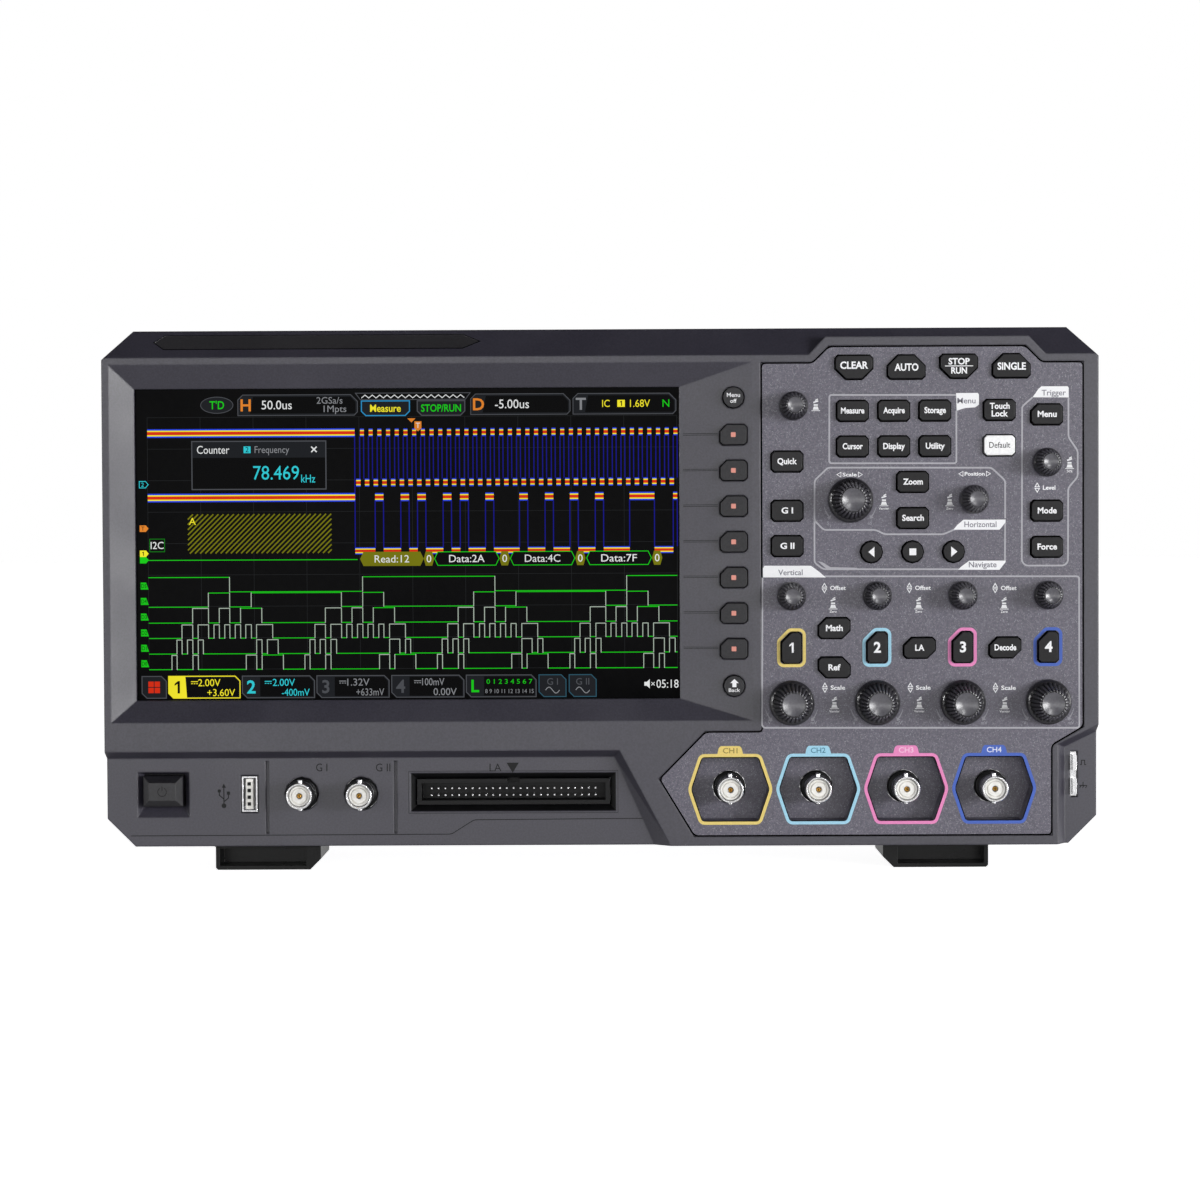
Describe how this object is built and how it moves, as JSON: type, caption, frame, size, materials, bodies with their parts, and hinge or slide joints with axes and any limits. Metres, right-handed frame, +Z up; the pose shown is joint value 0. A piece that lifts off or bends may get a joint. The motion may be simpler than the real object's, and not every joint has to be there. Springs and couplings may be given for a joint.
{
  "type": "logic analyzer",
  "caption": "Bench logic analyzer with touch screen, key and knob panel, coaxial and logic probe inputs, folding front legs and carrying handle.",
  "frame": {"origin": "middle of the bounding box in plan, on the table", "axes": "+Z up, the front faces -Y, +X to the right as seen from the front"},
  "size_m": [0.367, 0.13, 0.2012],
  "materials": {
    "housing": "fine texture, dark grey",
    "panel": "speckled grey",
    "glass": "black touch glass over the display",
    "sheet_steel": "bright sheet metal",
    "nickel": "nickel plate",
    "circuit_board": "green solder mask",
    "black_plastic": "black",
    "handle_plastic": "black, satin",
    "rubber": "black",
    "key_rubber": "near-black moulded key",
    "light_key": "off-white",
    "knob": "dark grey, satin cap"
  },
  "bodies": {
    "instrument": {"front_bezel": "housing", "control_panel": "panel", "touch_glass": "glass", "display_module": "sheet_steel", "front_board": "circuit_board", "chassis_plate": "sheet_steel", "main_board": "circuit_board", "rear_cover": "housing", "power_supply": "sheet_steel", "fan_frame": "black_plastic", "channel_connectors": "nickel", "generator_connectors": "nickel", "logic_connector": "black_plastic", "usb_port": "nickel", "probe_terminals": "nickel", "rear_ports": "sheet_steel", "rear_foot_left": "rubber", "rear_foot_right": "rubber"},
    "carry_handle": {"carry_handle": "handle_plastic"},
    "front_leg_left": {"front_leg_left": "black_plastic"},
    "front_leg_right": {"front_leg_right": "black_plastic"},
    "power_button": {"power_button": "key_rubber"},
    "fan_rotor": {"fan_rotor": "black_plastic"},
    "multifunction_knob": {"multifunction_knob": "knob"},
    "trigger_level_knob": {"trigger_level_knob": "knob"},
    "horizontal_scale_knob": {"horizontal_scale_knob": "knob"},
    "horizontal_position_knob": {"horizontal_position_knob": "knob"},
    "scale_knob_1": {"scale_knob_1": "knob"},
    "scale_knob_2": {"scale_knob_2": "knob"},
    "scale_knob_3": {"scale_knob_3": "knob"},
    "scale_knob_4": {"scale_knob_4": "knob"},
    "offset_knob_1": {"offset_knob_1": "knob"},
    "offset_knob_2": {"offset_knob_2": "knob"},
    "offset_knob_3": {"offset_knob_3": "knob"},
    "offset_knob_4": {"offset_knob_4": "knob"},
    "clear_key": {"clear_key": "key_rubber"},
    "auto_key": {"auto_key": "key_rubber"},
    "run_stop_key": {"run_stop_key": "key_rubber"},
    "single_key": {"single_key": "key_rubber"},
    "channel_1_key": {"channel_1_key": "key_rubber"},
    "channel_2_key": {"channel_2_key": "key_rubber"},
    "channel_3_key": {"channel_3_key": "key_rubber"},
    "channel_4_key": {"channel_4_key": "key_rubber"},
    "quick_key": {"quick_key": "key_rubber"},
    "generator_1_key": {"generator_1_key": "key_rubber"},
    "generator_2_key": {"generator_2_key": "key_rubber"},
    "touch_lock_key": {"touch_lock_key": "key_rubber"},
    "default_key": {"default_key": "light_key"},
    "trigger_menu_key": {"trigger_menu_key": "key_rubber"},
    "trigger_mode_key": {"trigger_mode_key": "key_rubber"},
    "trigger_force_key": {"trigger_force_key": "key_rubber"},
    "zoom_key": {"zoom_key": "key_rubber"},
    "search_key": {"search_key": "key_rubber"},
    "math_key": {"math_key": "key_rubber"},
    "reference_key": {"reference_key": "key_rubber"},
    "logic_key": {"logic_key": "key_rubber"},
    "decode_key": {"decode_key": "key_rubber"},
    "menu_keypad": {"menu_keypad": "key_rubber"},
    "navigate_keypad": {"navigate_keypad": "key_rubber"},
    "softkey_mat": {"softkey_mat": "key_rubber"}
  },
  "joints": [
    {"name": "carry_handle_swing", "type": "hinge", "parent": "instrument", "child": "carry_handle", "pos_m": [0, 0.039, 0.1962], "axis": [-1, 0, 0], "range_deg": [0, 90]},
    {"name": "front_leg_left_fold", "type": "hinge", "parent": "instrument", "child": "front_leg_left", "pos_m": [-0.122, -0.039, 0.0115], "axis": [-1, 0, 0], "range_deg": [0, 80]},
    {"name": "front_leg_right_fold", "type": "hinge", "parent": "instrument", "child": "front_leg_right", "pos_m": [0.122, -0.039, 0.0115], "axis": [-1, 0, 0], "range_deg": [0, 80]},
    {"name": "power_button_press", "type": "slide", "parent": "instrument", "child": "power_button", "axis": [0, 1, 0], "range_m": [0, 0.002], "stiffness_N_per_m": 500, "springref_m": -0.0005},
    {"name": "multifunction_knob_turn", "type": "hinge", "parent": "instrument", "child": "multifunction_knob", "pos_m": [0.0712, -0.051, 0.172], "axis": [0, -1, 0], "continuous": true},
    {"name": "trigger_level_knob_turn", "type": "hinge", "parent": "instrument", "child": "trigger_level_knob", "pos_m": [0.1643, -0.051, 0.1509], "axis": [0, -1, 0], "continuous": true},
    {"name": "horizontal_scale_knob_turn", "type": "hinge", "parent": "instrument", "child": "horizontal_scale_knob", "pos_m": [0.0921, -0.051, 0.1373], "axis": [0, -1, 0], "continuous": true},
    {"name": "horizontal_position_knob_turn", "type": "hinge", "parent": "instrument", "child": "horizontal_position_knob", "pos_m": [0.1375, -0.051, 0.1374], "axis": [0, -1, 0], "continuous": true},
    {"name": "scale_knob_1_turn", "type": "hinge", "parent": "instrument", "child": "scale_knob_1", "pos_m": [0.0703, -0.051, 0.0627], "axis": [0, -1, 0], "continuous": true},
    {"name": "scale_knob_2_turn", "type": "hinge", "parent": "instrument", "child": "scale_knob_2", "pos_m": [0.1018, -0.051, 0.0627], "axis": [0, -1, 0], "continuous": true},
    {"name": "scale_knob_3_turn", "type": "hinge", "parent": "instrument", "child": "scale_knob_3", "pos_m": [0.1333, -0.051, 0.0627], "axis": [0, -1, 0], "continuous": true},
    {"name": "scale_knob_4_turn", "type": "hinge", "parent": "instrument", "child": "scale_knob_4", "pos_m": [0.1648, -0.051, 0.0627], "axis": [0, -1, 0], "continuous": true},
    {"name": "offset_knob_1_turn", "type": "hinge", "parent": "instrument", "child": "offset_knob_1", "pos_m": [0.0703, -0.051, 0.1021], "axis": [0, -1, 0], "continuous": true},
    {"name": "offset_knob_2_turn", "type": "hinge", "parent": "instrument", "child": "offset_knob_2", "pos_m": [0.1018, -0.051, 0.1021], "axis": [0, -1, 0], "continuous": true},
    {"name": "offset_knob_3_turn", "type": "hinge", "parent": "instrument", "child": "offset_knob_3", "pos_m": [0.1333, -0.051, 0.1021], "axis": [0, -1, 0], "continuous": true},
    {"name": "offset_knob_4_turn", "type": "hinge", "parent": "instrument", "child": "offset_knob_4", "pos_m": [0.1648, -0.051, 0.1021], "axis": [0, -1, 0], "continuous": true},
    {"name": "clear_key_press", "type": "slide", "parent": "instrument", "child": "clear_key", "axis": [0, 1, 0], "range_m": [0, 0.0008], "stiffness_N_per_m": 600, "springref_m": -0.0003},
    {"name": "auto_key_press", "type": "slide", "parent": "instrument", "child": "auto_key", "axis": [0, 1, 0], "range_m": [0, 0.0008], "stiffness_N_per_m": 600, "springref_m": -0.0003},
    {"name": "run_stop_key_press", "type": "slide", "parent": "instrument", "child": "run_stop_key", "axis": [0, 1, 0], "range_m": [0, 0.0008], "stiffness_N_per_m": 600, "springref_m": -0.0003},
    {"name": "single_key_press", "type": "slide", "parent": "instrument", "child": "single_key", "axis": [0, 1, 0], "range_m": [0, 0.0008], "stiffness_N_per_m": 600, "springref_m": -0.0003},
    {"name": "channel_1_key_press", "type": "slide", "parent": "instrument", "child": "channel_1_key", "axis": [0, 1, 0], "range_m": [0, 0.0008], "stiffness_N_per_m": 600, "springref_m": -0.0003},
    {"name": "channel_2_key_press", "type": "slide", "parent": "instrument", "child": "channel_2_key", "axis": [0, 1, 0], "range_m": [0, 0.0008], "stiffness_N_per_m": 600, "springref_m": -0.0003},
    {"name": "channel_3_key_press", "type": "slide", "parent": "instrument", "child": "channel_3_key", "axis": [0, 1, 0], "range_m": [0, 0.0008], "stiffness_N_per_m": 600, "springref_m": -0.0003},
    {"name": "channel_4_key_press", "type": "slide", "parent": "instrument", "child": "channel_4_key", "axis": [0, 1, 0], "range_m": [0, 0.0008], "stiffness_N_per_m": 600, "springref_m": -0.0003},
    {"name": "quick_key_press", "type": "slide", "parent": "instrument", "child": "quick_key", "axis": [0, 1, 0], "range_m": [0, 0.0008], "stiffness_N_per_m": 600, "springref_m": -0.0003},
    {"name": "generator_1_key_press", "type": "slide", "parent": "instrument", "child": "generator_1_key", "axis": [0, 1, 0], "range_m": [0, 0.0008], "stiffness_N_per_m": 600, "springref_m": -0.0003},
    {"name": "generator_2_key_press", "type": "slide", "parent": "instrument", "child": "generator_2_key", "axis": [0, 1, 0], "range_m": [0, 0.0008], "stiffness_N_per_m": 600, "springref_m": -0.0003},
    {"name": "touch_lock_key_press", "type": "slide", "parent": "instrument", "child": "touch_lock_key", "axis": [0, 1, 0], "range_m": [0, 0.0008], "stiffness_N_per_m": 600, "springref_m": -0.0003},
    {"name": "default_key_press", "type": "slide", "parent": "instrument", "child": "default_key", "axis": [0, 1, 0], "range_m": [0, 0.0008], "stiffness_N_per_m": 600, "springref_m": -0.0003},
    {"name": "trigger_menu_key_press", "type": "slide", "parent": "instrument", "child": "trigger_menu_key", "axis": [0, 1, 0], "range_m": [0, 0.0008], "stiffness_N_per_m": 600, "springref_m": -0.0003},
    {"name": "trigger_mode_key_press", "type": "slide", "parent": "instrument", "child": "trigger_mode_key", "axis": [0, 1, 0], "range_m": [0, 0.0008], "stiffness_N_per_m": 600, "springref_m": -0.0003},
    {"name": "trigger_force_key_press", "type": "slide", "parent": "instrument", "child": "trigger_force_key", "axis": [0, 1, 0], "range_m": [0, 0.0008], "stiffness_N_per_m": 600, "springref_m": -0.0003},
    {"name": "zoom_key_press", "type": "slide", "parent": "instrument", "child": "zoom_key", "axis": [0, 1, 0], "range_m": [0, 0.0008], "stiffness_N_per_m": 600, "springref_m": -0.0003},
    {"name": "search_key_press", "type": "slide", "parent": "instrument", "child": "search_key", "axis": [0, 1, 0], "range_m": [0, 0.0008], "stiffness_N_per_m": 600, "springref_m": -0.0003},
    {"name": "math_key_press", "type": "slide", "parent": "instrument", "child": "math_key", "axis": [0, 1, 0], "range_m": [0, 0.0008], "stiffness_N_per_m": 600, "springref_m": -0.0003},
    {"name": "reference_key_press", "type": "slide", "parent": "instrument", "child": "reference_key", "axis": [0, 1, 0], "range_m": [0, 0.0008], "stiffness_N_per_m": 600, "springref_m": -0.0003},
    {"name": "logic_key_press", "type": "slide", "parent": "instrument", "child": "logic_key", "axis": [0, 1, 0], "range_m": [0, 0.0008], "stiffness_N_per_m": 600, "springref_m": -0.0003},
    {"name": "decode_key_press", "type": "slide", "parent": "instrument", "child": "decode_key", "axis": [0, 1, 0], "range_m": [0, 0.0008], "stiffness_N_per_m": 600, "springref_m": -0.0003},
    {"name": "menu_keypad_press", "type": "slide", "parent": "instrument", "child": "menu_keypad", "axis": [0, 1, 0], "range_m": [0, 0.0008], "stiffness_N_per_m": 600, "springref_m": -0.0003},
    {"name": "navigate_keypad_press", "type": "slide", "parent": "instrument", "child": "navigate_keypad", "axis": [0, 1, 0], "range_m": [0, 0.0008], "stiffness_N_per_m": 600, "springref_m": -0.0003},
    {"name": "softkey_mat_press", "type": "slide", "parent": "instrument", "child": "softkey_mat", "axis": [0, 1, 0], "range_m": [0, 0.0008], "stiffness_N_per_m": 600, "springref_m": -0.0003},
    {"name": "fan_spin", "type": "hinge", "parent": "instrument", "child": "fan_rotor", "pos_m": [0.1005, 0.0467, 0.1109], "axis": [0, -1, 0], "continuous": true}
  ]
}
